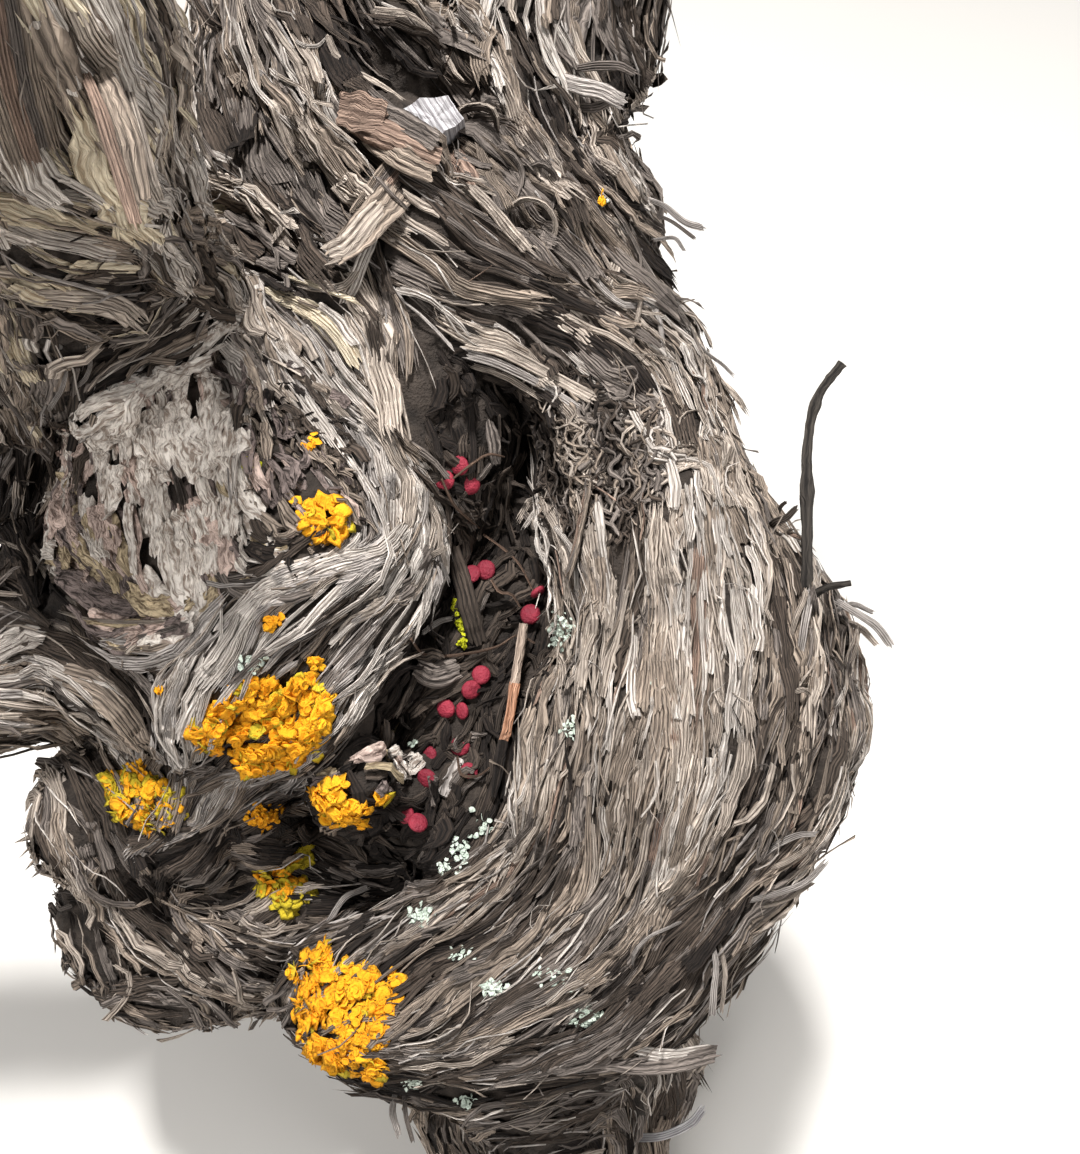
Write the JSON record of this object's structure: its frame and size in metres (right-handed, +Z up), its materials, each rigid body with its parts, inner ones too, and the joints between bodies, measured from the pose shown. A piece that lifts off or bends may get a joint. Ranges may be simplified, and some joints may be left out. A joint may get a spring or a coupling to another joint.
{
  "type": "old head-trained grapevine",
  "caption": "Old bush-trained grapevine stump in its dormant season: fluted leaning trunk, swollen head round a rotted hollow, healed knob, pruned arms with short spurs, lichen cushions.",
  "frame": {"origin": "middle of the trunk's flat cut at ground level", "axes": "+Z up, -Y towards the viewer, +X to the viewer's right; the head leans back along +Y and its hollow faces up and forward"},
  "size_m": [0.3637, 0.3424, 0.5497],
  "materials": {
    "bark": "matte weathered, shredding in strips",
    "cane": "satin one-year wood",
    "dead_cane": "matte dead wood",
    "lichen": "matte leafy lichen",
    "fruit": "satin dry skin"
  },
  "bodies": {
    "root": {"trunk": "bark", "heartwood": "bark", "crown": "bark", "shoulder": "bark", "front_rim": "bark", "wound_knob": "bark", "low_burl": "bark", "knob_skirt": "bark", "back_left_arm": "bark", "back_right_arm": "bark", "near_arm": "bark", "left_arm": "bark", "hollow_snag": "bark", "spur_1": "cane", "spur_2": "cane", "spur_3": "cane", "spur_4": "cane", "spur_5": "cane", "spur_6": "cane", "spur_7": "cane", "spur_8": "cane", "spur_9": "cane", "lichen_1": "lichen", "lichen_2": "lichen", "lichen_3": "lichen", "lichen_4": "lichen", "lichen_5": "lichen", "lichen_6": "lichen", "spray_1": "fruit", "spray_2": "fruit", "spray_3": "fruit", "spray_4": "fruit", "spray_5": "fruit", "spray_6": "fruit", "dry_stalk": "cane", "dead_shoot": "dead_cane", "bark_flap_1": "bark", "bark_flap_2": "bark", "bark_flap_3": "bark", "bark_flap_4": "bark"}
  },
  "joints": []
}
